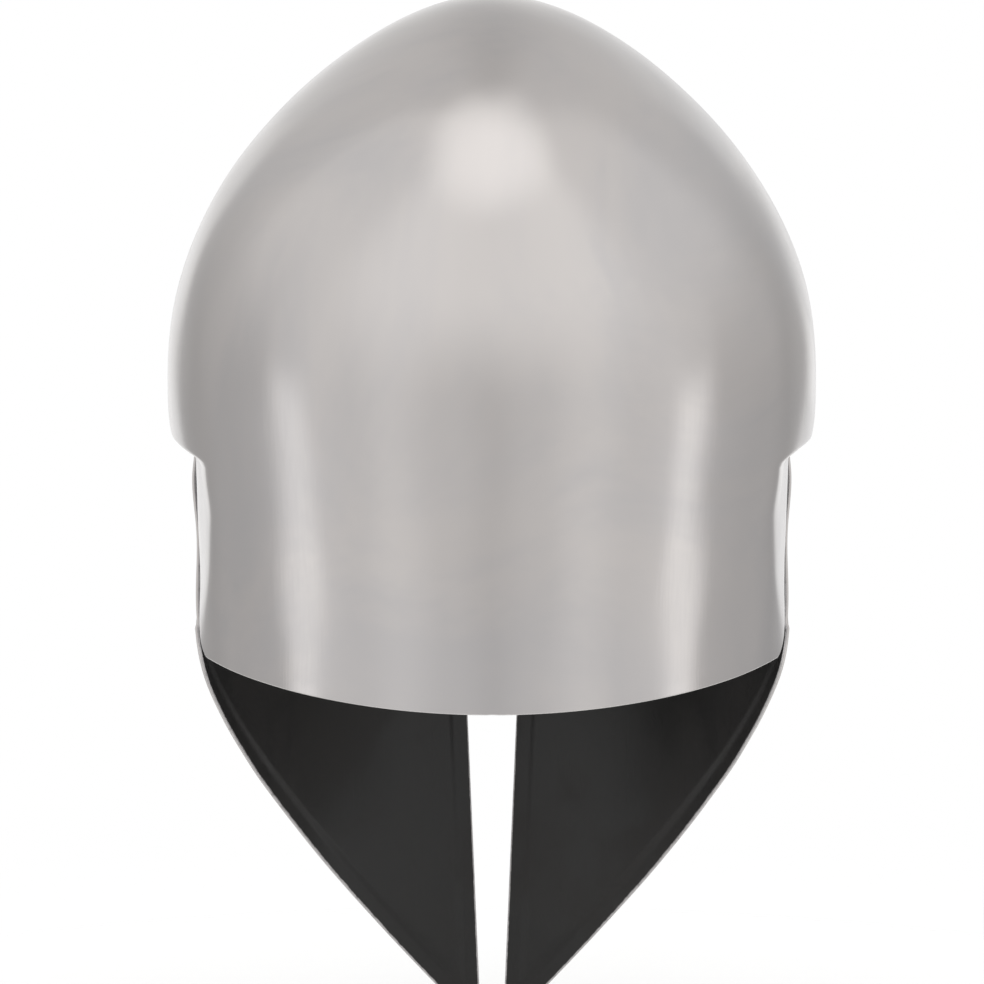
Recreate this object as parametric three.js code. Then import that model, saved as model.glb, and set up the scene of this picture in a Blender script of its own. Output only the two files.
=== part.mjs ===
// Greek helmet raised from one steel sheet: crown, nasal, neck guard and two long pointed cheek pieces.
// Millimetres. +Z is up, the face looks along -Y and +X is the wearer's left.
// The origin is the top of the hollow, where the wearer's head sits.
// A bearing is an angle round the helmet: -90 degrees at the face, 0 at the ear and 90 at the nape.
import * as THREE from 'three';
import { mergeVertices } from 'three/addons/utils/BufferGeometryUtils.js';

// Sheet
const WALL = 1.2;
const WELD = 1e-3;

// Dome above its widest level: taper narrows it towards the top
const DOME_RISE = 116;
const WIDEST_Z = WALL - DOME_RISE;
const DOME_TAPER = { side: 0.233, front: 0.14, back: 0.09, power: 2.7 };

// Plan of the shell at its widest level and below: half width of the cheek pieces and of the sides behind
// them, reach to the front and to the back, and how far back the cheek pieces are widest
const SECTIONS = [
  { z: WIDEST_Z, cheek: 99.5, side: 99.5, front: 121.5, back: 126, cheekY: 0 },
  { z: -125, cheek: 99.2, side: 99.3, front: 121, back: 125.8, cheekY: 0 },
  { z: -131, cheek: 97.8, side: 98.8, front: 120.2, back: 125.5, cheekY: -1 },
  { z: -137, cheek: 94.2, side: 98.2, front: 119, back: 125.2, cheekY: -2 },
  { z: -146, cheek: 94.2, side: 97.3, front: 118.3, back: 124.8, cheekY: -3 },
  { z: -164, cheek: 93.2, side: 96, front: 118, back: 124.2, cheekY: -3 },
  { z: -188, cheek: 93, side: 94.6, front: 118, back: 123.9, cheekY: -3 },
  { z: -204, cheek: 91.2, side: 94.4, front: 118.4, back: 124.2, cheekY: -3 },
  { z: -260, cheek: 88.5, side: 94.4, front: 119.4, back: 124.2, cheekY: -3 },
  { z: -346, cheek: 86, side: 94.4, front: 120.5, back: 124.2, cheekY: -3 },
];
const SIDE_BLEND = 0.14;

// Flat behind the ear, where the neck guard is pressed in below the dome: its half width, the softness of
// its crease, its bow at the top and lower down, how far it opens above the notch and flares at the foot
const FLAT = { x: 91, y: -11, crease: 0.9 };
const FLAT_BOW = { top: 0.0011, full: 0.00143, z: -137, drop: 17 };
const FLAT_TOP = { z: -126, opens: 20, drop: 12 };
const FLAT_FOOT = { z: -168, flares: 2.6, drop: 36 };

// Rim: nasal root, arch over the eye, temple and the ear notch seen from the side
const NASAL_ROOT_Z = -128;
const BROW = { bearing: -66, z: -119.5, toNose: 16.5, toTemple: 15 };
const TEMPLE_Z = -137;
const NOTCH = { frontY: -14, frontZ: -142, topY: 0, topZ: -130.4, backY: 24, backZ: -136.6 };

// Neck guard: its front edge leans back towards the foot, its bottom rises to the sides, its corner is round
const NECK_EDGE = { footY: 47, z: -150, drop: 52 };
const NECK = { bottomZ: -202, cornerRise: 6.3, cornerX: 85, cornerRadius: 6 };

// Nasal half widths
const NASAL = { root: 13, waist: 8, end: 9.5, waistDrop: 18, endDrop: 45, bottomZ: -184, round: 7 };

// Cheek piece outline seen from the front
const TIP = { x: 4, z: -346 };
const SLIT_TOP = { x: 9.2, z: -222 };
const JAW_Z = -200;
const JAW_CONTROL = { x: 85, z: -261 };
const EYE_EDGE = [
  { x: 12.4, z: -202 },
  { x: 15.2, z: -180 },
  { x: 19.5, z: -163 },
  { x: 31, z: -153.5 },
  { x: 46, z: -147.5 },
];
const EYE_SHARE = 0.6;

// Divisions of each patch
const COLUMNS = { nasal: 2, brow: 7, temple: 7, notch: 6, corner: 6, flat: 6, neck: 9, eye: 12 };
const ROWS = { dome: 14, neck: 9, nasal: 6, cheek: 14 };

const { degToRad, lerp, smoothstep } = THREE.MathUtils;
const ease = (x) => smoothstep(x, 0, 1);
const shares = (count) => Array.from({ length: count + 1 }, (_, i) => i / count);
const steps = (from, to, count) => shares(count).map((share) => lerp(from, to, share));

// Shell surface

// Curvature of a smooth curve through one column of the sections, level at the first row
function bends(column) {
  const count = SECTIONS.length;
  const slope = (i) => (SECTIONS[i + 1][column] - SECTIONS[i][column]) / (SECTIONS[i + 1].z - SECTIONS[i].z);
  const gap = (i) => SECTIONS[i + 1].z - SECTIONS[i].z;
  const scale = [2 * gap(0)];
  const right = [6 * slope(0)];
  for (let i = 1; i < count; i += 1) {
    const last = i === count - 1;
    const share = gap(i - 1) / scale[i - 1];
    scale.push(last ? 1 : 2 * (gap(i - 1) + gap(i)) - share * gap(i - 1));
    right.push(last ? 0 : 6 * (slope(i) - slope(i - 1)) - share * right[i - 1]);
  }
  const bend = new Array(count).fill(0);
  for (let i = count - 2; i >= 0; i -= 1) bend[i] = (right[i] - gap(i) * bend[i + 1]) / scale[i];
  return bend;
}

const BENDS = Object.fromEntries(Object.keys(SECTIONS[0]).map((column) => [column, bends(column)]));

function sectionAt(column, z) {
  const below = SECTIONS.findIndex((row) => row.z < z);
  const i = (below < 0 ? SECTIONS.length - 1 : below) - 1;
  const gap = SECTIONS[i + 1].z - SECTIONS[i].z;
  const b = (z - SECTIONS[i].z) / gap;
  const a = 1 - b;
  const bend = BENDS[column];
  return a * SECTIONS[i][column] + b * SECTIONS[i + 1][column]
    + (((a ** 3 - a) * bend[i] + (b ** 3 - b) * bend[i + 1]) * gap * gap) / 6;
}

function planAt(z) {
  const rise = (z - WIDEST_Z) / DOME_RISE;
  if (rise <= 0) {
    return Object.fromEntries(Object.keys(BENDS).map((column) => [column, sectionAt(column, z)]));
  }
  const { cheek, front, back } = SECTIONS[0];
  const dome = (reach, taper) => (
    reach * Math.sqrt(Math.max(0, 1 - rise * rise)) * (1 - taper * rise ** DOME_TAPER.power)
  );
  const side = dome(cheek, DOME_TAPER.side);
  return {
    cheek: side,
    side,
    front: dome(front, DOME_TAPER.front),
    back: dome(back, DOME_TAPER.back),
    cheekY: 0,
  };
}

function flatAt(y, z) {
  const opening = FLAT_TOP.opens * (1 - ease((FLAT_TOP.z - z) / FLAT_TOP.drop));
  const flare = FLAT_FOOT.flares * ease((FLAT_FOOT.z - z) / FLAT_FOOT.drop);
  const bow = lerp(FLAT_BOW.top, FLAT_BOW.full, ease((FLAT_BOW.z - z) / FLAT_BOW.drop));
  return FLAT.x + opening + flare - bow * Math.max(0, y - FLAT.y) ** 2;
}

function shellPoint(bearing, z) {
  const { cheek, side, front, back, cheekY } = planAt(z);
  const along = Math.sin(degToRad(bearing));
  const across = Math.cos(degToRad(bearing));
  const turn = (1 + (along * Math.hypot(1, SIDE_BLEND)) / Math.hypot(along, SIDE_BLEND)) / 2;
  const y = lerp(cheekY, 0, turn) + lerp(front + cheekY, back, (1 + along) / 2) * along;
  const flat = flatAt(y, z);
  const pressed = (side * across + flat - Math.hypot(side * across - flat, FLAT.crease)) / 2;
  return new THREE.Vector3(lerp(cheek * across, pressed, turn), y, z);
}

// Bearing at which a coordinate of the shell, growing between two bearings, has the given value
function bearingOf(axis, value, z, low, high) {
  for (let i = 0; i < 40; i += 1) {
    const middle = (low + high) / 2;
    if (shellPoint(middle, z)[axis] < value) low = middle;
    else high = middle;
  }
  return low;
}

const bearingAtX = ({ x, z }) => bearingOf('x', x, z, -90, 0);
const bearingAtY = ({ y, z }) => bearingOf('y', y, z, -90, 90);

// Rim

const EYE_CORNER = BROW.bearing + BROW.toTemple;
const NASAL_EDGE = nasalBearing(1, NASAL_ROOT_Z);

function browZ(bearing) {
  const toNose = bearing < BROW.bearing;
  const share = Math.abs(bearing - BROW.bearing) / (toNose ? BROW.toNose : BROW.toTemple);
  return lerp(BROW.z, toNose ? NASAL_ROOT_Z : TEMPLE_Z, Math.min(1, share) ** 2);
}

function notchZ(y) {
  if (y < NOTCH.topY) {
    const share = (NOTCH.topY - y) / (NOTCH.topY - NOTCH.frontY);
    return lerp(NOTCH.frontZ, NOTCH.topZ, Math.sqrt(1 - share * share));
  }
  return lerp(NOTCH.topZ, NOTCH.backZ, (y - NOTCH.topY) / (NOTCH.backY - NOTCH.topY));
}

// Neck guard

function neckEdge(z) {
  const y = lerp(NOTCH.backY, NECK_EDGE.footY, ease((NECK_EDGE.z - z) / NECK_EDGE.drop));
  return bearingAtY({ y, z });
}

// A column is a share of the way from the front edge to the nape
function neckBottom(share) {
  const front = neckEdge(NECK.bottomZ);
  const point = shellPoint(lerp(front, 90, share), NECK.bottomZ);
  const radius = NECK.cornerRadius;
  const inside = Math.max(0, radius - point.distanceTo(shellPoint(front, NECK.bottomZ)));
  const edge = NECK.bottomZ + NECK.cornerRise * (point.x / NECK.cornerX) ** 2;
  return edge + radius - Math.sqrt(radius * radius - inside * inside);
}

// Nasal

function nasalHalfWidth(z) {
  const drop = NASAL_ROOT_Z - z;
  const { root, waist, end, waistDrop, endDrop } = NASAL;
  return waist + (root - waist) * (1 - ease(drop / waistDrop))
    + (end - waist) * ease((drop - waistDrop) / (endDrop - waistDrop));
}

function nasalBearing(share, z) {
  return bearingAtX({ x: share * nasalHalfWidth(z), z });
}

// Patches: rows of points from the top down, each row running from the face past the ear to the nape

const CORNER_SHARE = 0.12;
const FLAT_SHARE = 0.3;
const neckShares = [
  ...steps(0, Math.PI / 2, COLUMNS.corner).map((turn) => CORNER_SHARE * (1 - Math.cos(turn))),
  ...steps(CORNER_SHARE, FLAT_SHARE, COLUMNS.flat).slice(1),
  ...steps(FLAT_SHARE, 1, COLUMNS.neck).slice(1),
];

const notchRim = [
  ...steps(0, Math.PI / 2, COLUMNS.corner).map((turn) => lerp(NOTCH.topY, NOTCH.frontY, Math.cos(turn))),
  ...steps(NOTCH.topY, NOTCH.backY, COLUMNS.notch).slice(1),
].map((y) => ({ bearing: bearingAtY({ y, z: notchZ(y) }), z: notchZ(y) }));

const templeRim = shares(COLUMNS.temple).map((share) => ({
  bearing: lerp(EYE_CORNER, notchRim[0].bearing, share),
  z: lerp(TEMPLE_Z, NOTCH.frontZ, share),
}));

function domePatch() {
  const nape = notchRim.at(-1).bearing;
  const root = shares(COLUMNS.nasal).map((share) => nasalBearing(share, NASAL_ROOT_Z));
  const brow = steps(NASAL_EDGE, EYE_CORNER, COLUMNS.brow).slice(1);
  const rim = [
    ...root.map((bearing) => ({ bearing, z: NASAL_ROOT_Z })),
    ...brow.map((bearing) => ({ bearing, z: browZ(bearing) })),
    ...templeRim.slice(1),
    ...notchRim.slice(1),
    ...neckShares.slice(1).map((share) => ({ bearing: lerp(nape, 90, share), z: NOTCH.backZ })),
  ];
  return shares(ROWS.dome).map((down) => rim.map(({ bearing, z }) => {
    const rimAngle = Math.acos((z - WIDEST_Z) / DOME_RISE);
    return shellPoint(bearing, WIDEST_Z + DOME_RISE * Math.cos(rimAngle * down));
  }));
}

function neckPatch() {
  return shares(ROWS.neck).map((down) => neckShares.map((share) => {
    const z = lerp(NOTCH.backZ, neckBottom(share), down);
    return shellPoint(lerp(neckEdge(z), 90, share), z);
  }));
}

function nasalPatch() {
  return shares(ROWS.nasal).map((down) => shares(COLUMNS.nasal).map((share) => {
    const z = lerp(NASAL_ROOT_Z, NASAL.bottomZ + NASAL.round * share * share, down);
    return shellPoint(nasalBearing(share, z), z);
  }));
}

// A cheek piece fills the space between its four edges: slit, eye edge and temple, ear edge, jaw
function cheekPatch() {
  const flat = ({ x, z }) => new THREE.Vector2(x, z);
  const place = ({ x, z }) => new THREE.Vector2(bearingAtX({ x, z }), z);
  const slitEdge = (up) => place({ x: lerp(TIP.x, SLIT_TOP.x, up), z: lerp(TIP.z, SLIT_TOP.z, up) });
  const earEdge = (up) => {
    const z = lerp(JAW_Z, NOTCH.frontZ, up);
    return new THREE.Vector2(bearingAtY({ y: NOTCH.frontY, z }), z);
  };
  const earFoot = shellPoint(earEdge(0).x, JAW_Z);
  const jaw = new THREE.QuadraticBezierCurve(flat(TIP), flat(JAW_CONTROL), flat(earFoot));
  const eye = new THREE.SplineCurve([
    place(SLIT_TOP),
    ...EYE_EDGE.map(place),
    new THREE.Vector2(EYE_CORNER, TEMPLE_Z),
  ]);
  const tops = [
    ...shares(COLUMNS.eye).map((share) => ({ u: EYE_SHARE * share, top: eye.getPointAt(share) })),
    ...templeRim.slice(1).map(({ bearing, z }, i) => ({
      u: lerp(EYE_SHARE, 1, (i + 1) / COLUMNS.temple),
      top: new THREE.Vector2(bearing, z),
    })),
  ];
  const columns = tops.map(({ u, top }) => {
    const foot = jaw.getPointAt(u);
    return { u, top, foot: u < 1 ? place({ x: foot.x, z: foot.y }) : earEdge(0) };
  });
  const [first, last] = [columns[0], columns.at(-1)];
  return shares(ROWS.cheek).toReversed().map((up) => columns.map(({ u, top, foot }) => {
    const rise = foot.clone().lerp(top, up);
    const across = slitEdge(up).lerp(earEdge(up), u);
    const corners = first.foot.clone().lerp(last.foot, u).lerp(first.top.clone().lerp(last.top, u), up);
    const spot = rise.add(across).sub(corners);
    return shellPoint(spot.x, spot.y);
  }));
}

// Solid

// Welds the patches of both sides into one sheet and gives it its wall, inwards, with the edges closed
function thicken(patches) {
  const points = [];
  for (const rows of patches) {
    for (let i = 0; i + 1 < rows.length; i += 1) {
      for (let j = 0; j + 1 < rows[i].length; j += 1) {
        const [a, b, c, d] = [rows[i][j], rows[i + 1][j], rows[i + 1][j + 1], rows[i][j + 1]];
        const left = [a, b, c, a, c, d];
        const right = left.toReversed().map((point) => new THREE.Vector3(-point.x, point.y, point.z));
        points.push(...left, ...right);
      }
    }
  }
  const sheet = mergeVertices(new THREE.BufferGeometry().setFromPoints(points), WELD);
  const index = Array.from(sheet.index.array);
  const outer = [];
  for (let i = 0; i < index.length; i += 3) {
    const [a, b, c] = index.slice(i, i + 3);
    if (a !== b && b !== c && c !== a) outer.push([a, b, c]);
  }
  sheet.setIndex(outer.flat());
  sheet.computeVertexNormals();

  const place = sheet.getAttribute('position');
  const normal = sheet.getAttribute('normal');
  const count = place.count;
  const vertices = [];
  for (const depth of [0, WALL]) {
    for (let i = 0; i < count; i += 1) {
      const vertex = new THREE.Vector3().fromBufferAttribute(place, i);
      vertices.push(vertex.addScaledVector(new THREE.Vector3().fromBufferAttribute(normal, i), -depth));
    }
  }
  const edges = new Set(outer.flatMap(([a, b, c]) => [`${a} ${b}`, `${b} ${c}`, `${c} ${a}`]));
  const triangles = [...outer, ...outer.map(([a, b, c]) => [a + count, c + count, b + count])];
  for (const edge of edges) {
    const [a, b] = edge.split(' ').map(Number);
    if (!edges.has(`${b} ${a}`)) triangles.push([b, a, a + count], [b, a + count, b + count]);
  }
  return new THREE.BufferGeometry().setFromPoints(vertices).setIndex(triangles.flat());
}

const polishedSteel = new THREE.MeshStandardMaterial({ color: 0xb9b7b5, roughness: 0.25, metalness: 1 });

const shell = new THREE.Mesh(thicken([domePatch(), neckPatch(), nasalPatch(), cheekPatch()]), polishedSteel);
shell.name = 'helmet_shell';

const helmet = new THREE.Group();
helmet.add(shell);

export default helmet;
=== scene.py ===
import math

import bpy
import numpy as np
from bpy.props import FloatProperty, FloatVectorProperty, PointerProperty
from bpy.types import Operator, Panel, PropertyGroup
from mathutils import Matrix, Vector
from mathutils.kdtree import KDTree


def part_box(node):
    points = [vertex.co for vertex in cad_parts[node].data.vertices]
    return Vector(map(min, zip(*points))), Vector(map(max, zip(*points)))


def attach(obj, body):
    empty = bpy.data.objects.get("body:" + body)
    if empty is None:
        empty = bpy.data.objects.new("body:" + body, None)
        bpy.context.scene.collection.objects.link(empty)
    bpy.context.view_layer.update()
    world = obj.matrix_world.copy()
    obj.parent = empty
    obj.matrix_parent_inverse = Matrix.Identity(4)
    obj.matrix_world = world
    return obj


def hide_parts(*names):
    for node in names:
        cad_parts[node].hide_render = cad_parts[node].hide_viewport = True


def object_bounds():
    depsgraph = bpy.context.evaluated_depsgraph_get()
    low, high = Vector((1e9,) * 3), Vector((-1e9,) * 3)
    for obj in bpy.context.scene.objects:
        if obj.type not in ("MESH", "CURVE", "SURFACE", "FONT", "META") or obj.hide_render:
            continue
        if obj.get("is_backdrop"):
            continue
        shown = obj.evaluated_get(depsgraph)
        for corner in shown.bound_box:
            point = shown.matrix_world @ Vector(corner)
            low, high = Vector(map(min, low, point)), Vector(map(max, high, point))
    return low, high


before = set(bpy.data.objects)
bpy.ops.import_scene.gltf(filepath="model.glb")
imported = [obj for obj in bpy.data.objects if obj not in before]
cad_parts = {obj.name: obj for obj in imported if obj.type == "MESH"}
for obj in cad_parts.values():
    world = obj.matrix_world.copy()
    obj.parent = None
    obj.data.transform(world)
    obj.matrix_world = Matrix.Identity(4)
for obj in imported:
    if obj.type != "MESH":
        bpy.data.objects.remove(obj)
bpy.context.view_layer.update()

bl_info = {
    "name": "Greek helmet",
    "version": (1, 0, 0),
    "blender": (4, 5, 0),
    "location": "3D View > Sidebar > Helmet",
    "description": "Builds a polished steel Greek helmet, black inside, on a plain pale stage",
    "category": "Object",
}

SHELL_NODE = "helmet_shell"
MM = 0.001
FIT_SLACK = 0.003


# Shape of the sheet. Millimetres and degrees: a bearing is -90 at the face, 0 at the ear, 90 at the nape.

WALL = 1.2
DOME_RISE = 116.0
WIDEST_Z = WALL - DOME_RISE
TAPER_POWER = 2.7
TAPER = {"cheek": 0.233, "side": 0.233, "front": 0.14, "back": 0.09}

SECTION_COLUMNS = ("cheek", "side", "front", "back", "cheek_y")
SECTIONS = np.array([
    (WIDEST_Z, 99.5, 99.5, 121.5, 126.0, 0.0),
    (-125.0, 99.2, 99.3, 121.0, 125.8, 0.0),
    (-131.0, 97.8, 98.8, 120.2, 125.5, -1.0),
    (-137.0, 94.2, 98.2, 119.0, 125.2, -2.0),
    (-146.0, 94.2, 97.3, 118.3, 124.8, -3.0),
    (-164.0, 93.2, 96.0, 118.0, 124.2, -3.0),
    (-188.0, 93.0, 94.6, 118.0, 123.9, -3.0),
    (-204.0, 91.2, 94.4, 118.4, 124.2, -3.0),
    (-260.0, 88.5, 94.4, 119.4, 124.2, -3.0),
    (-346.0, 86.0, 94.4, 120.5, 124.2, -3.0),
])
SIDE_BLEND = 0.14

# Flat behind the ear, where the neck guard is pressed in below the dome
FLAT_X, FLAT_Y, FLAT_CREASE = 91.0, -11.0, 0.9
FLAT_TOP_BOW, FLAT_FULL_BOW, FLAT_BOW_Z, FLAT_BOW_DROP = 0.0011, 0.00143, -137.0, 17.0
FLAT_TOP_Z, FLAT_OPENS, FLAT_TOP_DROP = -126.0, 20.0, 12.0
FLAT_FOOT_Z, FLAT_FLARES, FLAT_FOOT_DROP = -168.0, 2.6, 36.0

NASAL_ROOT_Z = -128.0
BROW_BEARING, BROW_Z, BROW_TO_NOSE, BROW_TO_TEMPLE = -66.0, -119.5, 16.5, 15.0
EYE_CORNER = BROW_BEARING + BROW_TO_TEMPLE
TEMPLE_Z = -137.0
NOTCH_FRONT = (-14.0, -142.0)
NOTCH_TOP = (0.0, -130.4)
NOTCH_BACK = (24.0, -136.6)

NECK_FOOT_Y, NECK_EDGE_Z, NECK_EDGE_DROP = 47.0, -150.0, 52.0
NECK_BOTTOM_Z, NECK_CORNER_RISE, NECK_CORNER_X, NECK_CORNER_RADIUS = -202.0, 6.3, 85.0, 6.0
NECK_CORNER_SHARE, NECK_FLAT_SHARE = 0.06, 0.3

NASAL_ROOT, NASAL_WAIST, NASAL_END = 13.0, 8.0, 9.5
NASAL_WAIST_DROP, NASAL_END_DROP = 18.0, 45.0
NASAL_BOTTOM_Z, NASAL_ROUND = -184.0, 7.0

TIP = (4.0, -346.0)
SLIT_TOP = (9.2, -222.0)
JAW_Z = -200.0
JAW_CONTROL = (85.0, -261.0)
EYE_EDGE = ((12.4, -202.0), (15.2, -180.0), (19.5, -163.0), (31.0, -153.5), (46.0, -147.5))
EYE_SHARE = 0.6

# Divisions of the mesh: fine rows follow the bordered edges
FINE_STEP, FINE_ROWS = 0.7, 12
COLUMNS = {
    "nasal": 14, "brow": 26, "temple": 22, "corner": 14, "notch": 18, "flat": 40, "neck": 42, "eye": 38,
}
ROWS = {"dome": 44, "neck": 40, "nasal": 56, "cheek": 26}
RIM_STEPS, BARE_RIM_STEPS = 6, 3

# Points as close as the weld are joined, and the nudge is the share of a row that measures its length
WELD = 0.004
NUDGE = 0.005

# Shallow waves that hand work leaves in the sheet: how many cross, and the span of their lengths
PLANISH_SEED, PLANISH_WAVES, PLANISH_LENGTHS = 11, 14, (26.0, 58.0)


def ease(x):
    x = np.clip(x, 0.0, 1.0)
    return x * x * (3.0 - 2.0 * x)


def mix(a, b, share):
    return a + (b - a) * share


def spline_bends(values):
    """Curvature of a smooth curve through one column of the sections, level at the first row."""
    levels = SECTIONS[:, 0]
    count = len(levels)
    gap = np.diff(levels)
    slope = np.diff(values) / gap
    left, right = np.zeros((count, count)), np.zeros(count)
    left[0, :2], right[0] = (2 * gap[0], gap[0]), 6 * slope[0]
    for i in range(1, count - 1):
        left[i, i - 1:i + 2] = gap[i - 1], 2 * (gap[i - 1] + gap[i]), gap[i]
        right[i] = 6 * (slope[i] - slope[i - 1])
    left[-1, -1] = 1.0
    return np.linalg.solve(left, right)


BENDS = {name: spline_bends(SECTIONS[:, k + 1]) for k, name in enumerate(SECTION_COLUMNS)}


def section_at(name, z):
    levels = SECTIONS[:, 0]
    values = SECTIONS[:, 1 + SECTION_COLUMNS.index(name)]
    i = np.clip(np.searchsorted(-levels, -z, side="right") - 1, 0, len(levels) - 2)
    gap = levels[i + 1] - levels[i]
    b = (z - levels[i]) / gap
    a = 1.0 - b
    bend = ((a ** 3 - a) * BENDS[name][i] + (b ** 3 - b) * BENDS[name][i + 1]) * gap * gap / 6.0
    return a * values[i] + b * values[i + 1] + bend


def plan_at(z):
    """Half widths and reaches of the shell's plan at each level."""
    rise = np.clip((z - WIDEST_Z) / DOME_RISE, 0.0, 1.0)
    plan = {name: section_at(name, np.minimum(z, WIDEST_Z)) for name in SECTION_COLUMNS}
    round_off = np.sqrt(1.0 - rise * rise)
    for name, taper in TAPER.items():
        plan[name] = plan[name] * round_off * (1.0 - taper * rise ** TAPER_POWER)
    return plan


def flat_at(y, z):
    opening = FLAT_OPENS * (1.0 - ease((FLAT_TOP_Z - z) / FLAT_TOP_DROP))
    flare = FLAT_FLARES * ease((FLAT_FOOT_Z - z) / FLAT_FOOT_DROP)
    bow = mix(FLAT_TOP_BOW, FLAT_FULL_BOW, ease((FLAT_BOW_Z - z) / FLAT_BOW_DROP))
    return FLAT_X + opening + flare - bow * np.maximum(0.0, y - FLAT_Y) ** 2


def shell_point(bearing, z):
    bearing, z = np.broadcast_arrays(np.asarray(bearing, float), np.asarray(z, float))
    plan = plan_at(z)
    along, across = np.sin(np.radians(bearing)), np.cos(np.radians(bearing))
    turn = (1.0 + along * math.hypot(1.0, SIDE_BLEND) / np.hypot(along, SIDE_BLEND)) / 2.0
    reach = mix(plan["front"] + plan["cheek_y"], plan["back"], (1.0 + along) / 2.0)
    y = mix(plan["cheek_y"], 0.0, turn) + reach * along
    side, flat = plan["side"] * across, flat_at(y, z)
    pressed = (side + flat - np.hypot(side - flat, FLAT_CREASE)) / 2.0
    return np.stack((mix(plan["cheek"] * across, pressed, turn), y, z), -1)


def bearing_of(axis, value, z, low, high):
    """Bearing at which a coordinate of the shell, growing between two bearings, has the given value."""
    value, z = np.broadcast_arrays(np.asarray(value, float), np.asarray(z, float))
    low, high = np.full(value.shape, float(low)), np.full(value.shape, float(high))
    for _ in range(44):
        middle = (low + high) / 2.0
        below = shell_point(middle, z)[..., axis] < value
        low, high = np.where(below, middle, low), np.where(below, high, middle)
    return low


def bearing_at_x(x, z):
    return bearing_of(0, x, z, -90.0, 0.0)


def bearing_at_y(y, z):
    return bearing_of(1, y, z, -90.0, 90.0)


def brow_z(bearing):
    to_nose = bearing < BROW_BEARING
    share = np.abs(bearing - BROW_BEARING) / np.where(to_nose, BROW_TO_NOSE, BROW_TO_TEMPLE)
    return mix(BROW_Z, np.where(to_nose, NASAL_ROOT_Z, TEMPLE_Z), np.minimum(share, 1.0) ** 2)


def notch_z(y):
    front = np.clip((NOTCH_TOP[0] - y) / (NOTCH_TOP[0] - NOTCH_FRONT[0]), 0.0, 1.0)
    arch = mix(NOTCH_FRONT[1], NOTCH_TOP[1], np.sqrt(1.0 - front * front))
    line = mix(NOTCH_TOP[1], NOTCH_BACK[1], (y - NOTCH_TOP[0]) / (NOTCH_BACK[0] - NOTCH_TOP[0]))
    return np.where(y < NOTCH_TOP[0], arch, line)


def neck_edge(z):
    y = mix(NOTCH_BACK[0], NECK_FOOT_Y, ease((NECK_EDGE_Z - z) / NECK_EDGE_DROP))
    return bearing_at_y(y, z)


def neck_bottom(share):
    front = neck_edge(np.array(NECK_BOTTOM_Z))
    point = shell_point(mix(front, 90.0, share), NECK_BOTTOM_Z)
    corner = shell_point(front, NECK_BOTTOM_Z)
    inside = np.maximum(0.0, NECK_CORNER_RADIUS - np.linalg.norm(point - corner, axis=-1))
    edge = NECK_BOTTOM_Z + NECK_CORNER_RISE * (point[..., 0] / NECK_CORNER_X) ** 2
    return edge + NECK_CORNER_RADIUS - np.sqrt(NECK_CORNER_RADIUS ** 2 - inside ** 2)


def nasal_bearing(share, z):
    drop = NASAL_ROOT_Z - z
    narrowing = (NASAL_ROOT - NASAL_WAIST) * (1.0 - ease(drop / NASAL_WAIST_DROP))
    to_end = (drop - NASAL_WAIST_DROP) / (NASAL_END_DROP - NASAL_WAIST_DROP)
    widening = (NASAL_END - NASAL_WAIST) * ease(to_end)
    return bearing_at_x(share * (NASAL_WAIST + narrowing + widening), z)


def by_length(points, shares):
    """Points of a finely sampled curve at shares of its length."""
    run = np.concatenate(([0.0], np.cumsum(np.linalg.norm(np.diff(points, axis=0), axis=1))))
    return np.stack([np.interp(shares * run[-1], run, points[:, k]) for k in range(points.shape[1])], -1)


def smooth_through(knots, samples=240):
    """A Catmull-Rom curve through the knots."""
    knots = np.asarray(knots, float)
    padded = np.concatenate((knots[:1], knots, knots[-1:]))
    t = np.linspace(0.0, 1.0, samples)[:, None]
    pieces = []
    for p0, p1, p2, p3 in zip(padded, padded[1:], padded[2:], padded[3:]):
        v0, v1 = (p2 - p0) / 2.0, (p3 - p1) / 2.0
        cubic = 2 * p1 - 2 * p2 + v0 + v1
        square = -3 * p1 + 3 * p2 - 2 * v0 - v1
        pieces.append(cubic * t ** 3 + square * t ** 2 + v0 * t + p1)
    return np.concatenate(pieces)


def notch_rim():
    turn = np.linspace(0.0, math.pi / 2.0, COLUMNS["corner"] + 1)
    y = np.concatenate((
        mix(NOTCH_TOP[0], NOTCH_FRONT[0], np.cos(turn)),
        np.linspace(NOTCH_TOP[0], NOTCH_BACK[0], COLUMNS["notch"] + 1)[1:],
    ))
    z = notch_z(y)
    return bearing_at_y(y, z), z


def temple_rim(notch_bearing):
    share = np.linspace(0.0, 1.0, COLUMNS["temple"] + 1)
    return mix(EYE_CORNER, notch_bearing, share), mix(TEMPLE_Z, NOTCH_FRONT[1], share)


def neck_shares():
    corner = NECK_CORNER_SHARE * (1.0 - np.cos(np.linspace(0.0, math.pi / 2.0, COLUMNS["corner"] + 1)))
    flat = np.linspace(NECK_CORNER_SHARE, NECK_FLAT_SHARE, COLUMNS["flat"] + 1)[1:]
    return np.concatenate((corner, flat, np.linspace(NECK_FLAT_SHARE, 1.0, COLUMNS["neck"] + 1)[1:]))


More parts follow.
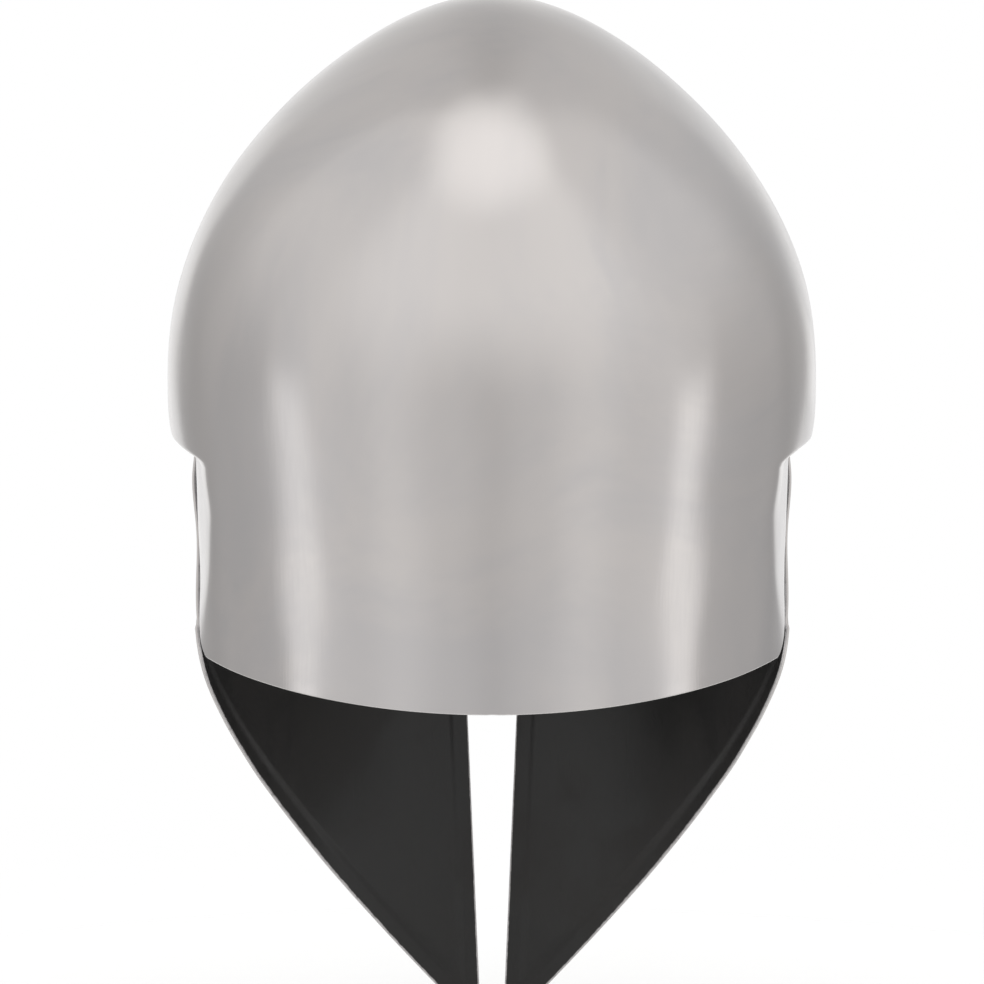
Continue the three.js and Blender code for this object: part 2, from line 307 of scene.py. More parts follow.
def dome_patch():
    notch_bearing, notch_level = notch_rim()
    temple_bearing, temple_level = temple_rim(notch_bearing[0])
    root = nasal_bearing(np.linspace(0.0, 1.0, COLUMNS["nasal"] + 1), np.array(NASAL_ROOT_Z))
    brow = np.linspace(root[-1], EYE_CORNER, COLUMNS["brow"] + 1)[1:]
    nape = mix(notch_bearing[-1], 90.0, neck_shares()[1:])
    bearing = np.concatenate((root, brow, temple_bearing[1:], notch_bearing[1:], nape))
    level = np.concatenate((
        np.full(root.shape, NASAL_ROOT_Z), brow_z(brow), temple_level[1:], notch_level[1:],
        np.full(nape.shape, NOTCH_BACK[1]),
    ))
    rim_angle = np.arccos((level - WIDEST_Z) / DOME_RISE)

    def surface(down):
        return shell_point(bearing[None, :], WIDEST_Z + DOME_RISE * np.cos(rim_angle[None, :] * down))

    ends = surface(np.array([[1.0 - NUDGE], [1.0]]))
    speed = np.linalg.norm(ends[1] - ends[0], axis=-1) / NUDGE
    fine = 1.0 - np.arange(FINE_ROWS, -1, -1)[:, None] * FINE_STEP / speed[None, :]
    coarse = np.linspace(0.0, 1.0, ROWS["dome"] + 1)[:-1, None] * fine[0][None, :]
    points = surface(np.concatenate((coarse, fine)))
    face = len(root) + len(brow)
    return points, [points[-1, len(root) - 1:face]]


def neck_patch():
    share = neck_shares()
    level = mix(NOTCH_BACK[1], neck_bottom(share)[None, :], np.linspace(0.0, 1.0, ROWS["neck"] + 1)[:, None])
    return shell_point(mix(neck_edge(level), 90.0, share[None, :]), level), []


def nasal_patch():
    share = np.linspace(0.0, 1.0, COLUMNS["nasal"] + 1)[None, :]
    down = np.linspace(0.0, 1.0, ROWS["nasal"] + 1)[:, None]
    level = mix(NASAL_ROOT_Z, NASAL_BOTTOM_Z + NASAL_ROUND * share * share, down)
    points = shell_point(nasal_bearing(np.broadcast_to(share, level.shape), level), level)
    return points, [points[:, -1], points[-1]]


def cheek_patch():
    """Fills the space between the slit, the eye edge with the temple, the ear edge and the jaw."""
    notch_bearing, _ = notch_rim()
    temple = np.stack(temple_rim(notch_bearing[0]), -1)

    def on_front(x, z):
        return np.stack((bearing_at_x(x, z), np.asarray(z, float)), -1)

    def slit_edge(up):
        return on_front(mix(TIP[0], SLIT_TOP[0], up), mix(TIP[1], SLIT_TOP[1], up))

    def ear_edge(up):
        z = mix(JAW_Z, NOTCH_FRONT[1], up)
        return np.stack((bearing_at_y(np.full(z.shape, NOTCH_FRONT[0]), z), z), -1)

    ear_foot = ear_edge(np.zeros(1))[0]
    foot_point = shell_point(ear_foot[0], ear_foot[1])
    t = np.linspace(0.0, 1.0, 1200)[:, None]
    jaw_end = np.array((foot_point[0], foot_point[2]))
    jaw = (1 - t) ** 2 * np.array(TIP) + 2 * t * (1 - t) * np.array(JAW_CONTROL) + t ** 2 * jaw_end
    eye = smooth_through([
        on_front(*SLIT_TOP), *(on_front(x, z) for x, z in EYE_EDGE), np.array((EYE_CORNER, TEMPLE_Z)),
    ])

    eye_line = shell_point(*by_length(eye, np.linspace(0, 1, 200)).T)
    eye_length = np.linalg.norm(np.diff(eye_line, axis=0), axis=1).sum()
    fine = np.arange(FINE_ROWS + 1) * FINE_STEP / eye_length
    eye_share = np.concatenate((fine, mix(fine[-1], 1.0, np.linspace(0.0, 1.0, COLUMNS["eye"] + 1)[1:])))
    temple_u = np.linspace(EYE_SHARE, 1.0, COLUMNS["temple"] + 1)[1:]
    u = np.concatenate((EYE_SHARE * eye_share, temple_u))
    top = np.concatenate((by_length(eye, eye_share), temple[1:]))
    top[len(eye_share) - 1] = temple[0]
    feet = by_length(jaw, u)
    foot = on_front(feet[:, 0], feet[:, 1])
    foot[-1] = ear_foot

    def surface(up):
        share, rise = u[None, :, None], up[..., None]
        upright = mix(foot[None], top[None], rise)
        level = mix(slit_edge(up), ear_edge(up), share)
        corners = mix(mix(foot[0], foot[-1], share), mix(top[0], top[-1], share), rise)
        spot = upright + level - corners
        return shell_point(spot[..., 0], spot[..., 1])

    ends = np.array([0.0, NUDGE, 1.0 - NUDGE, 1.0])[:, None] * np.ones((1, len(u)))
    trial = surface(ends)
    foot_speed = np.linalg.norm(trial[1] - trial[0], axis=-1) / NUDGE
    top_speed = np.linalg.norm(trial[3] - trial[2], axis=-1) / NUDGE
    count = np.arange(FINE_ROWS + 1)[:, None] * FINE_STEP
    low, high = count / foot_speed[None, :], 1.0 - count[::-1] / top_speed[None, :]
    middle = mix(low[-1], high[0], np.linspace(0.0, 1.0, ROWS["cheek"] + 1)[1:-1, None])
    points = surface(np.concatenate((low, middle, high))[::-1])
    return points, [points[0, :len(eye_share)], points[:, 0], points[-1]]


def welded_sheet():
    """Vertices and faces of the outer face, both sides joined, and points along the bordered edges."""
    corners, edges = [], []
    for points, bordered in (dome_patch(), neck_patch(), nasal_patch(), cheek_patch()):
        a, b, c, d = points[:-1, :-1], points[1:, :-1], points[1:, 1:], points[:-1, 1:]
        left = np.stack((a, b, c, d), -2).reshape(-1, 4, 3)
        right = left[:, ::-1] * np.array((-1.0, 1.0, 1.0))
        corners += [left, right]
        for edge in bordered:
            edges += [edge, edge * np.array((-1.0, 1.0, 1.0))]
    corners = np.concatenate(corners)
    keys = np.round(corners.reshape(-1, 3) / WELD).astype(np.int64)
    _, first, index = np.unique(keys, axis=0, return_index=True, return_inverse=True)
    vertices = corners.reshape(-1, 3)[first]
    vertices[np.abs(vertices[:, 0]) < 1e-6, 0] = 0.0
    faces = []
    for face in index.reshape(-1, 4):
        ring = [int(v) for k, v in enumerate(face) if v != face[k - 1]]
        if len(ring) > 2:
            faces.append(ring)
    return vertices, faces, edges


def vertex_normals(vertices, faces):
    rings = np.array([(f[0], f[1], f[2], f[3] if len(f) > 3 else f[0]) for f in faces])
    a, b, c, d = (vertices[rings[:, k]] for k in range(4))
    flat = np.where((rings[:, 3] == rings[:, 0])[:, None], np.cross(b - a, c - a), np.cross(c - a, d - b))
    normals = np.zeros_like(vertices)
    for k in range(4):
        np.add.at(normals, rings[:, k], flat)
    return normals / np.linalg.norm(normals, axis=1, keepdims=True)


def distances(points, targets):
    tree = KDTree(len(targets))
    for i, target in enumerate(targets):
        tree.insert(target, i)
    tree.balance()
    return np.array([tree.find(point)[2] for point in points])


def densified(edge, step=0.25):
    run = np.linalg.norm(np.diff(edge, axis=0), axis=1).sum()
    return by_length(edge, np.linspace(0.0, 1.0, max(2, int(run / step))))


def planish_marks(points, depth):
    """Height of the crossing waves at each point."""
    draws = np.random.default_rng(PLANISH_SEED)
    height = np.zeros(len(points))
    for _ in range(PLANISH_WAVES):
        direction = draws.normal(size=3)
        direction /= np.linalg.norm(direction)
        wavelength = draws.uniform(*PLANISH_LENGTHS)
        height += np.sin(points @ direction * (2 * math.pi / wavelength) + draws.uniform(0.0, 2 * math.pi))
    return depth * height / math.sqrt(PLANISH_WAVES)


def free_edges(faces):
    """Edges that only one face has, in that face's direction."""
    users = dict.fromkeys((a, b) for face in faces for a, b in zip(face, face[1:] + face[:1]))
    return [(a, b) for a, b in users if (b, a) not in users]


def edge_leans(points, normals, free, rim):
    """Directions that point out of the sheet, in its plane, along its free edges."""
    lean = np.zeros_like(points)
    for a, b in free:
        away = np.cross(points[b] - points[a], normals[a] + normals[b])
        away /= np.linalg.norm(away)
        lean[a] += away
        lean[b] += away
    return lean[rim] / np.linalg.norm(lean[rim], axis=1, keepdims=True)


def helmet_mesh(size):
    """Closed sheet of even thickness with a raised border, planishing and rounded cut edges."""
    outer, faces, bordered = welded_sheet()
    normals = vertex_normals(outer, faces)
    to_border = distances(outer, np.concatenate([densified(edge) for edge in bordered]))
    width, ramp, height = size.border_width / MM, size.border_ramp / MM, size.border_height / MM
    relief = height * (1.0 - ease((to_border - width) / ramp))
    relief += planish_marks(outer, size.planish_depth / MM)
    outer = outer + normals * relief[:, None]
    inner = outer - normals * WALL
    count = len(outer)

    free = free_edges(faces)
    rim = sorted({a for edge in free for a in edge})
    lean = edge_leans(outer, normals, free, rim)
    middle = (outer[rim] + inner[rim]) / 2.0

    rings = [{v: v for v in rim}]
    vertices = [outer, inner]
    start = 2 * count
    bulge = size.edge_round / MM
    for step in range(1, RIM_STEPS):
        turn = math.pi * step / RIM_STEPS
        across = normals[rim] * (WALL / 2 * math.cos(turn))
        vertices.append(middle + across + lean * (bulge * math.sin(turn)))
        rings.append({v: start + k for k, v in enumerate(rim)})
        start += len(rim)
    rings.append({v: v + count for v in rim})
    cut = [
        (upper[b], upper[a], lower[a], lower[b])
        for upper, lower in zip(rings, rings[1:]) for a, b in free
    ]
    painted = [[v + count for v in reversed(face)] for face in faces]
    vertices = np.concatenate(vertices)
    to_edge = np.zeros(len(vertices))
    to_edge[:count] = distances(outer, outer[rim])
    to_edge[count:2 * count] = to_edge[:count]

    mesh = bpy.data.meshes.new(SHELL_NODE)
    mesh.from_pydata((vertices * MM).tolist(), [], [*faces, *cut, *painted])
    slots = np.zeros(len(mesh.polygons), np.int32)
    slots[len(faces) + BARE_RIM_STEPS * len(free):] = 1
    mesh.polygons.foreach_set("material_index", slots)
    mesh.polygons.foreach_set("use_smooth", np.ones(len(mesh.polygons), bool))
    share = mesh.attributes.new("edge_distance", "FLOAT", "POINT")
    share.data.foreach_set("value", (to_edge * MM).astype(np.float32))
    edge_of = {tuple(sorted(edge.vertices)): edge.index for edge in mesh.edges}
    sharp = np.zeros(len(mesh.edges), bool)
    for a, b in free:
        sharp[edge_of[tuple(sorted((a, b)))]] = True
        sharp[edge_of[tuple(sorted((a + count, b + count)))]] = True
    mesh.attributes.new("sharp_edge", "BOOLEAN", "EDGE").data.foreach_set("value", sharp)
    mesh.update()
    if mesh.validate():
        raise RuntimeError("the helmet mesh has broken faces")
    return mesh


# Finishes

def add_node(tree, kind, values=None, **settings):
    node = tree.nodes.new(kind)
    for name, value in settings.items():
        setattr(node, name, value)
    for name, value in (values or {}).items():
        node.inputs[name].default_value = value
    return node


def new_group(name, inputs, outputs):
    tree = bpy.data.node_groups.new(name, "ShaderNodeTree")
    for label, default in inputs:
        socket = tree.interface.new_socket(label, in_out="INPUT", socket_type="NodeSocketFloat")
        socket.default_value = default
    for label in outputs:
        tree.interface.new_socket(label, in_out="OUTPUT", socket_type="NodeSocketFloat")
    return tree, add_node(tree, "NodeGroupInput"), add_node(tree, "NodeGroupOutput")


def ranged(tree, source, low, high, out_low=0.0, out_high=1.0):
    node = add_node(tree, "ShaderNodeMapRange", {
        "From Min": low, "From Max": high, "To Min": out_low, "To Max": out_high,
    }, interpolation_type="SMOOTHSTEP")
    tree.links.new(source, node.inputs["Value"])
    return node.outputs["Result"]


def math_node(tree, operation, a, b):
    node = add_node(tree, "ShaderNodeMath", operation=operation)
    for socket, value in zip(node.inputs, (a, b)):
        if isinstance(value, (int, float)):
            socket.default_value = value
        else:
            tree.links.new(value, socket)
    return node.outputs[0]


def handling_group():
    """Cloudy wipe marks and fine polishing lines, as masks and a height."""
    tree, source, sink = new_group(
        "handling_marks", [("Cloud Scale", 16.0), ("Line Scale", 900.0)], ["Cloud", "Lines", "Height"])
    place = add_node(tree, "ShaderNodeTexCoord").outputs["Object"]
    cloud = add_node(tree, "ShaderNodeTexNoise", {"Detail": 5.0, "Roughness": 0.6, "Distortion": 0.8})
    tree.links.new(place, cloud.inputs["Vector"])
    tree.links.new(source.outputs["Cloud Scale"], cloud.inputs["Scale"])
    stretch = add_node(tree, "ShaderNodeMapping", {"Scale": (1.0, 1.0, 0.03)})
    tree.links.new(place, stretch.inputs["Vector"])
    lines = add_node(tree, "ShaderNodeTexNoise", {"Detail": 3.0, "Roughness": 0.7, "Distortion": 0.4})
    tree.links.new(stretch.outputs["Vector"], lines.inputs["Vector"])
    tree.links.new(source.outputs["Line Scale"], lines.inputs["Scale"])
    cloud_mask = ranged(tree, cloud.outputs["Fac"], 0.36, 0.68)
    line_mask = ranged(tree, lines.outputs["Fac"], 0.42, 0.7)
    tree.links.new(cloud_mask, sink.inputs["Cloud"])
    tree.links.new(line_mask, sink.inputs["Lines"])
    soft = math_node(tree, "MULTIPLY", cloud_mask, 0.4)
    tree.links.new(math_node(tree, "ADD", soft, line_mask), sink.inputs["Height"])
    return tree


def edge_rub_group():
    """How far a spot near a cut edge is rubbed, broken up by the handling."""
    tree, source, sink = new_group("edge_rub", [("Width", 0.002), ("Break Up", 0.5)], ["Rub"])
    away = add_node(tree, "ShaderNodeAttribute", attribute_name="edge_distance").outputs["Fac"]
    place = add_node(tree, "ShaderNodeTexCoord").outputs["Object"]
    grain = add_node(tree, "ShaderNodeTexNoise", {"Scale": 420.0, "Detail": 4.0, "Roughness": 0.65})
    tree.links.new(place, grain.inputs["Vector"])
    near = math_node(tree, "SUBTRACT", 1.0, math_node(tree, "DIVIDE", away, source.outputs["Width"]))
    broken = math_node(tree, "MULTIPLY", grain.outputs["Fac"], source.outputs["Break Up"])
    tree.links.new(ranged(tree, math_node(tree, "SUBTRACT", near, broken), 0.0, 0.6), sink.inputs["Rub"])
    return tree


def placed_group(tree, group, **values):
    node = add_node(tree, "ShaderNodeGroup", node_tree=group)
    for label, value in values.items():
        node.inputs[label.replace("_", " ")].default_value = value
    return node


def mixed_colour(tree, factor, a, b):
    node = add_node(tree, "ShaderNodeMix", data_type="RGBA")
    tree.links.new(factor, node.inputs["Factor"])
    for socket, value in ((node.inputs[6], a), (node.inputs[7], b)):
        if isinstance(value, bpy.types.NodeSocket):
            tree.links.new(value, socket)
        else:
            socket.default_value = (*value, 1.0)
    return node.outputs[2]


def new_material(name):
    material = bpy.data.materials.new(name)
    material.use_nodes = True
    tree = material.node_tree
    return material, tree, tree.nodes["Principled BSDF"]


def bumped(tree, shader, height, strength, distance):
    bump = add_node(tree, "ShaderNodeBump", {"Strength": strength, "Distance": distance})
    tree.links.new(height, bump.inputs["Height"])
    tree.links.new(bump.outputs["Normal"], shader.inputs["Normal"])


def polished_steel(finish, handling, rub):
    material, tree, shader = new_material("polished_steel")
    marks = placed_group(tree, handling, Cloud_Scale=11.0, Line_Scale=1500.0)
    worn = placed_group(tree, rub, Width=0.006, Break_Up=0.5)
    shader.inputs["Metallic"].default_value = 1.0
    tint = mixed_colour(tree, marks.outputs["Cloud"], finish.steel_colour, finish.steel_shade)
    tree.links.new(tint, shader.inputs["Base Color"])
    clear, wiped = finish.steel_roughness - 0.02, finish.steel_roughness + 0.035
    cloudy = ranged(tree, marks.outputs["Cloud"], 0.0, 1.0, clear, wiped)
    lined = math_node(tree, "MULTIPLY_ADD", marks.outputs["Lines"], 0.03)
    tree.links.new(cloudy, lined.node.inputs[2])
    rubbed = math_node(tree, "SUBTRACT", lined, math_node(tree, "MULTIPLY", worn.outputs["Rub"], 0.05))
    tree.links.new(rubbed, shader.inputs["Roughness"])
    bumped(tree, shader, marks.outputs["Height"], 0.06, 0.00006)
    return material


def black_paint(finish, handling, rub):
    material, tree, shader = new_material("black_paint")
    marks = placed_group(tree, handling, Cloud_Scale=24.0, Line_Scale=420.0)
    worn = placed_group(tree, rub, Width=0.0011, Break_Up=0.9)
    coat = mixed_colour(tree, marks.outputs["Cloud"], finish.paint_colour, finish.paint_smudge)
    rubbed = mixed_colour(tree, worn.outputs["Rub"], coat, finish.steel_shade)
    tree.links.new(rubbed, shader.inputs["Base Color"])
    tree.links.new(math_node(tree, "MULTIPLY", worn.outputs["Rub"], 0.8), shader.inputs["Metallic"])
    clear, touched = finish.paint_roughness - 0.06, finish.paint_roughness + 0.1
    roughness = ranged(tree, marks.outputs["Cloud"], 0.0, 1.0, clear, touched)
    tree.links.new(roughness, shader.inputs["Roughness"])
    bumped(tree, shader, marks.outputs["Height"], 0.12, 0.0001)
    return material


# Stage

# Soft surround: degrees round from the nape side, and the brightness there at eye level and higher up
LEVEL_STOPS = (
    (0.0, 0.68), (20.0, 0.75), (45.0, 0.87), (62.0, 0.8), (78.0, 0.83), (92.0, 0.74),
    (102.0, 0.6), (125.0, 0.55), (140.0, 0.46), (148.0, 0.5), (156.0, 0.92), (165.0, 1.0),
)
UPPER_STOPS = (
    (0.0, 0.98), (50.0, 1.02), (85.0, 0.88), (115.0, 0.86), (135.0, 0.72), (150.0, 0.7), (180.0, 0.6),
)

# Heights, as sines, between which the walls change; low strips at both sides, in shares of the half turn
# from the nape to the face; and the soft ceiling, which leans a little to the nape side
WALL_HEIGHTS = (-0.12, 0.6)
STRIP_BEGINS, STRIP_ENDS, STRIP_HEIGHTS = (0.42, 0.475), (0.495, 0.56), (-0.14, 0.12)
CEILING_LEAN, CEILING_SPAN = (0.12, 0.993), (0.9, 1.0)

# Soft boxes: place, width and height in metres, and power in watts
SOFT_BOXES = {
    "top_box": ((0.0, 0.35, 1.2), (1.1, 0.9), 3.0),
    "left_box": ((-1.35, 0.5, 0.0), (0.4, 0.8), 1.0),
    "right_box": ((1.35, 0.5, 0.0), (0.4, 0.8), 1.0),
}

# Floor: rings, spokes and crowding of its mesh, the span of its fade in shares of the radius, and the gap
# that keeps it just below the cheek points
FLOOR_RINGS, FLOOR_SPOKES, FLOOR_CROWDING = 24, 96, 1.6
FLOOR_FADE = (0.4, 0.98)
FLOOR_GAP = 0.0005

SENSOR_WIDTH = 36.0


def round_ramp(tree, turn, stops):
    ramp = add_node(tree, "ShaderNodeValToRGB")
    ramp.color_ramp.interpolation = "EASE"
    while len(ramp.color_ramp.elements) < len(stops):
        ramp.color_ramp.elements.new(1.0)
    for element, (angle, value) in zip(ramp.color_ramp.elements, stops):
        element.position = angle / 180.0
        element.color = (value, value, value, 1.0)
    tree.links.new(turn, ramp.inputs["Fac"])
    return ramp.outputs["Color"]


def studio_world(stage):
    """White paper in front of the face, dim gaps beside it, pale walls behind and a soft ceiling."""
    world = bpy.data.worlds.new("soft_studio")
    world.use_nodes = True
    tree = world.node_tree
    tree.nodes.clear()
    place = add_node(tree, "ShaderNodeTexCoord").outputs["Generated"]
    parts = add_node(tree, "ShaderNodeSeparateXYZ")
    tree.links.new(place, parts.inputs["Vector"])
    x, y, z = parts.outputs
    across = math_node(tree, "ADD", math_node(tree, "MULTIPLY", x, x), math_node(tree, "MULTIPLY", y, y))
    reach = math_node(tree, "MAXIMUM", math_node(tree, "SQRT", across, 0.0), 1e-4)
    bearing = math_node(tree, "ARCCOSINE", math_node(tree, "DIVIDE", y, reach), 0.0)
    turn = math_node(tree, "DIVIDE", bearing, math.pi)
    level, upper = round_ramp(tree, turn, LEVEL_STOPS), round_ramp(tree, turn, UPPER_STOPS)
    walls = mixed_colour(tree, ranged(tree, z, *WALL_HEIGHTS), level, upper)
    begins = ranged(tree, turn, *STRIP_BEGINS)
    beside = math_node(tree, "MULTIPLY", begins, ranged(tree, turn, *STRIP_ENDS, 1.0, 0.0))
    strip = math_node(tree, "MULTIPLY", beside, ranged(tree, z, *STRIP_HEIGHTS, 1.0, 0.0))
    lit = mixed_colour(tree, strip, walls, (stage.strip,) * 3)
    leaning = [math_node(tree, "MULTIPLY", part, share) for part, share in zip((y, z), CEILING_LEAN)]
    overhead = ranged(tree, math_node(tree, "ADD", *leaning), *CEILING_SPAN)
    ceiling = mixed_colour(tree, overhead, lit, (stage.overhead,) * 3)
    surround = add_node(tree, "ShaderNodeBackground", {"Strength": stage.surround})
    tree.links.new(ceiling, surround.inputs["Color"])
    paper = (*stage.backdrop_colour, 1.0)
    backdrop = add_node(tree, "ShaderNodeBackground", {"Color": paper, "Strength": 1.0})
    seen = add_node(tree, "ShaderNodeLightPath").outputs["Is Camera Ray"]
    join = add_node(tree, "ShaderNodeMixShader")
    tree.links.new(seen, join.inputs["Fac"])
    tree.links.new(surround.outputs[0], join.inputs[1])
    tree.links.new(backdrop.outputs[0], join.inputs[2])
    tree.links.new(join.outputs[0], add_node(tree, "ShaderNodeOutputWorld").inputs["Surface"])
    bpy.context.scene.world = world


def soft_box(name, place, aim, size, power):
    light = bpy.data.lights.new(name, "AREA")
    light.shape = "RECTANGLE"
    light.size, light.size_y = size
    light.energy = power
    lamp = bpy.data.objects.new(name, light)
    lamp.location = place
    lamp.rotation_euler = (Vector(aim) - Vector(place)).to_track_quat("-Z", "Y").to_euler()
    lamp.visible_glossy = False
    bpy.context.scene.collection.objects.link(lamp)


def floor_mesh(radius, level):
    rings, spokes = FLOOR_RINGS, FLOOR_SPOKES
    points, faces = [(0.0, 0.0, level)], []
    for i in range(1, rings + 1):
        reach = radius * (i / rings) ** FLOOR_CROWDING
        for k in range(spokes):
            angle = 2 * math.pi * k / spokes
            points.append((reach * math.cos(angle), reach * math.sin(angle), level))
    for k in range(spokes):
        faces.append((0, 1 + k, 1 + (k + 1) % spokes))
    for i in range(1, rings):
        inner, outer = 1 + (i - 1) * spokes, 1 + i * spokes
        for k in range(spokes):
            following = (k + 1) % spokes
            faces.append((inner + k, outer + k, outer + following, inner + following))
    mesh = bpy.data.meshes.new("pale_floor")
    mesh.from_pydata(points, [], faces)
    return mesh


def pale_floor_finish(stage):
    material, tree, shader = new_material("pale_floor")
    shader.inputs["Base Color"].default_value = (*stage.floor_colour, 1.0)
    shader.inputs["Roughness"].default_value = 0.9
    shader.inputs["Specular IOR Level"].default_value = 0.1
    shader.inputs["Emission Color"].default_value = (*stage.floor_colour, 1.0)
    shader.inputs["Emission Strength"].default_value = stage.floor_glow
    place = add_node(tree, "ShaderNodeTexCoord").outputs["Object"]
    reach = add_node(tree, "ShaderNodeVectorMath", operation="LENGTH")
    tree.links.new(place, reach.inputs[0])
    begins, ends = (stage.floor_radius * share for share in FLOOR_FADE)
    fade = ranged(tree, reach.outputs["Value"], begins, ends, 1.0, 0.0)
    tree.links.new(fade, shader.inputs["Alpha"])
    return material


# Settings

class HelmetSizes(PropertyGroup):
    """Sizes of the shell's finish that a user would change"""
    border_width: FloatProperty(
        name="Border Width", description="Width of the raised border along the face edges and the jaw",
        default=0.0042, min=0.001, max=0.01, unit="LENGTH")
    border_ramp: FloatProperty(
        name="Border Slope", description="Width of the slope from the border down to the sheet",
        default=0.0024, min=0.0005, max=0.01, unit="LENGTH")
    border_height: FloatProperty(
        name="Border Height", description="How far the border stands out",
        default=0.0008, min=0.0, max=0.003, unit="LENGTH")
    planish_depth: FloatProperty(
        name="Planish Depth", description="Depth of the shallow waves left by hand work",
        default=0.00012, min=0.0, max=0.0005, precision=5, unit="LENGTH")
    edge_round: FloatProperty(
        name="Edge Round", description="How far the rounded cut edges bulge",
        default=0.00035, min=0.0, max=0.0006, precision=5, unit="LENGTH")


class HelmetFinish(PropertyGroup):
    """Colours and gloss of the helmet"""
    steel_colour: FloatVectorProperty(
        name="Steel", description="Colour of the polished steel",
        default=(0.63, 0.598, 0.582), min=0.0, max=1.0, subtype="COLOR")
    steel_shade: FloatVectorProperty(
        name="Steel Shade", description="Colour of the steel where it was wiped",
        default=(0.575, 0.555, 0.552), min=0.0, max=1.0, subtype="COLOR")
    steel_roughness: FloatProperty(
        name="Steel Roughness", description="Blur of the reflections in the steel",
        default=0.15, min=0.05, max=0.6, subtype="FACTOR")
    paint_colour: FloatVectorProperty(
        name="Paint", description="Colour of the black paint inside",
        default=(0.0062, 0.0055, 0.005), min=0.0, max=1.0, subtype="COLOR")
    paint_smudge: FloatVectorProperty(
        name="Paint Smudge", description="Colour of the paint where it was touched",
        default=(0.0135, 0.0115, 0.0105), min=0.0, max=1.0, subtype="COLOR")
    paint_roughness: FloatProperty(
        name="Paint Roughness", description="Blur of the gloss on the paint",
        default=0.48, min=0.05, max=1.0, subtype="FACTOR")


class HelmetStage(PropertyGroup):
    """Floor, light and camera"""
    floor_colour: FloatVectorProperty(
        name="Floor", description="Colour of the floor",
        default=(0.88, 0.88, 0.875), min=0.0, max=1.0, subtype="COLOR")
    floor_glow: FloatProperty(
        name="Floor Glow", description="Light that the bright floor gives back",
        default=0.22, min=0.0, max=1.0)
    floor_radius: FloatProperty(
        name="Floor Radius", description="Reach of the floor before it fades into the backdrop",
        default=0.62, min=0.3, max=10.0, unit="LENGTH")
    backdrop_colour: FloatVectorProperty(
        name="Backdrop", description="Colour behind the floor",
        default=(1.0, 1.0, 1.0), min=0.0, max=1.0, subtype="COLOR")
    surround: FloatProperty(
        name="Surround", description="Brightness of the soft surround", default=1.0, min=0.0, max=4.0)
    overhead: FloatProperty(
        name="Overhead", description="Brightness straight above", default=1.24, min=0.0, max=4.0)
    strip: FloatProperty(
        name="Low Strip", description="Brightness of the low strips at both sides",
        default=1.16, min=0.0, max=4.0)
    camera_distance: FloatProperty(
        name="Camera Distance", description="From the camera to the middle of the view",
        default=1.5, min=0.3, max=10.0, unit="LENGTH")
    camera_elevation: FloatProperty(
        name="Camera Elevation", description="Angle of the camera above the horizon",
        default=math.radians(6.0), min=-1.5, max=1.5, subtype="ANGLE")
    camera_lens: FloatProperty(
        name="Camera Lens", description="Focal length on a sensor 36 mm wide, in millimetres",
        default=177.84, min=20.0, max=500.0)
    view_height: FloatProperty(
        name="View Height", description="Height of the middle of the view",
        default=-0.1515, min=-1.0, max=1.0, unit="LENGTH")


# Operators

class HELMET_OT_shell(Operator):
    """Builds the helmet's sheet with its border, cut edges and finishes"""
    bl_idname = "helmet.shell"
    bl_label = "Helmet Shell"

    def execute(self, context):
        scene = context.scene
        low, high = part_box(SHELL_NODE)
        mesh = helmet_mesh(scene.helmet_sizes)
        shell = bpy.data.objects.new("steel_helmet", mesh)
        scene.collection.objects.link(shell)
        for corner in shell.bound_box:
            if any(c < a - FIT_SLACK or c > b + FIT_SLACK for c, a, b in zip(corner, low, high)):
                raise RuntimeError("the helmet does not fit the frame's shell")
        handling, rub = handling_group(), edge_rub_group()
        mesh.materials.append(polished_steel(scene.helmet_finish, handling, rub))
        mesh.materials.append(black_paint(scene.helmet_finish, handling, rub))
        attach(shell, "root")
        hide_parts(SHELL_NODE)
        return {"FINISHED"}


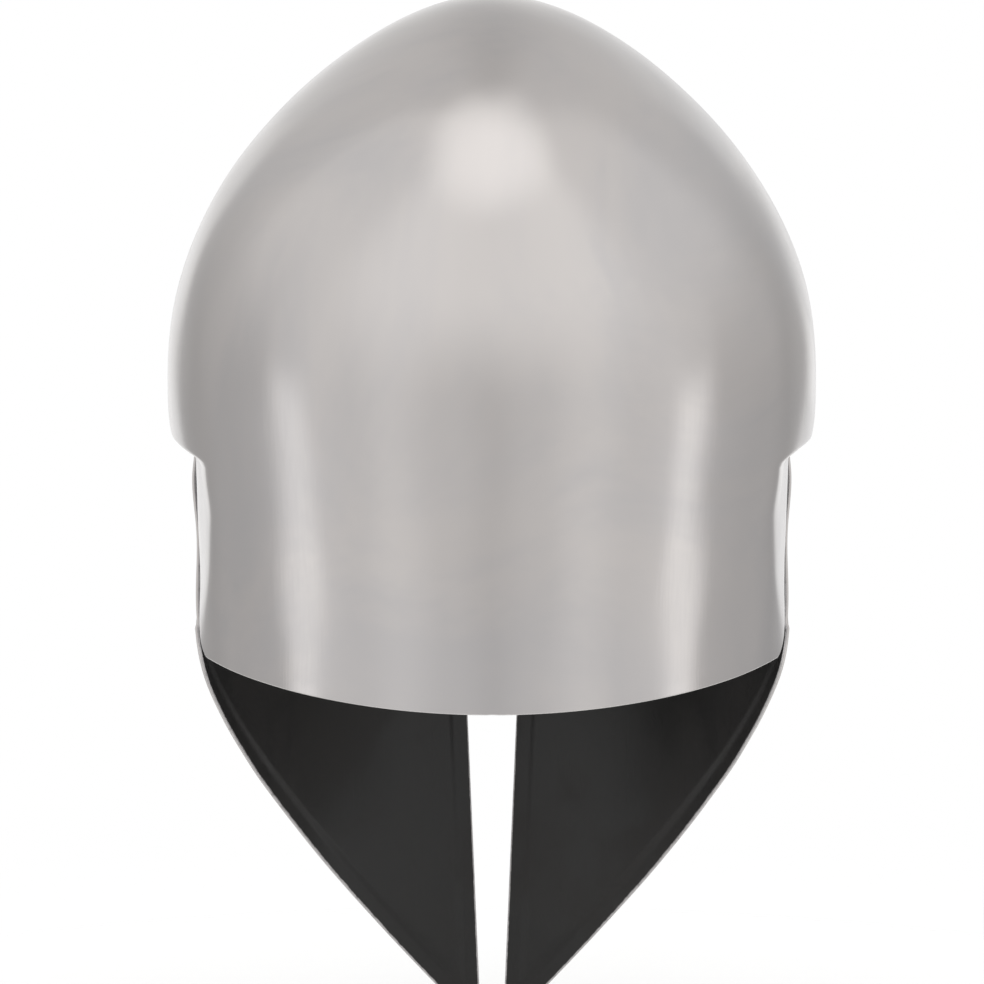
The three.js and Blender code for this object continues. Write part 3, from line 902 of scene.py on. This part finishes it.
class HELMET_OT_stage(Operator):
    """Sets the pale floor, the soft light and the camera"""
    bl_idname = "helmet.stage"
    bl_label = "Stage"

    def execute(self, context):
        scene = context.scene
        stage = scene.helmet_stage
        low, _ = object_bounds()
        floor = bpy.data.objects.new("pale_floor", floor_mesh(stage.floor_radius, low.z - FLOOR_GAP))
        floor.data.materials.append(pale_floor_finish(stage))
        scene.collection.objects.link(floor)
        floor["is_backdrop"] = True
        studio_world(stage)
        middle = Vector((0.0, 0.0, stage.view_height))
        for name, (place, size, power) in SOFT_BOXES.items():
            soft_box(name, place, middle, size, power)
        camera = bpy.data.objects.new("camera", bpy.data.cameras.new("camera"))
        camera.data.sensor_width = SENSOR_WIDTH
        camera.data.lens = stage.camera_lens
        rise = stage.camera_elevation
        back = Vector((0.0, math.cos(rise), math.sin(rise)))
        camera.location = middle + back * stage.camera_distance
        camera.rotation_euler = (-back).to_track_quat("-Z", "Y").to_euler()
        scene.collection.objects.link(camera)
        scene.camera = camera
        scene.view_settings.view_transform = "Standard"
        return {"FINISHED"}


class HELMET_PT_sidebar(Panel):
    """Lists the helmet's pieces and settings"""
    bl_label = "Greek Helmet"
    bl_idname = "HELMET_PT_sidebar"
    bl_space_type = "VIEW_3D"
    bl_region_type = "UI"
    bl_category = "Helmet"

    def draw(self, context):
        for operator in (HELMET_OT_shell, HELMET_OT_stage):
            self.layout.operator(operator.bl_idname)
        for group in (context.scene.helmet_sizes, context.scene.helmet_finish, context.scene.helmet_stage):
            box = self.layout.box()
            for name in group.__annotations__:
                box.prop(group, name)


CLASSES = (HelmetSizes, HelmetFinish, HelmetStage, HELMET_OT_shell, HELMET_OT_stage, HELMET_PT_sidebar)


def register():
    for item in CLASSES:
        bpy.utils.register_class(item)
    bpy.types.Scene.helmet_sizes = PointerProperty(type=HelmetSizes)
    bpy.types.Scene.helmet_finish = PointerProperty(type=HelmetFinish)
    bpy.types.Scene.helmet_stage = PointerProperty(type=HelmetStage)


def unregister():
    del bpy.types.Scene.helmet_stage
    del bpy.types.Scene.helmet_finish
    del bpy.types.Scene.helmet_sizes
    for item in reversed(CLASSES):
        bpy.utils.unregister_class(item)


def main():
    register()
    bpy.ops.helmet.shell()
    bpy.ops.helmet.stage()


if __name__ == "__main__":
    main()
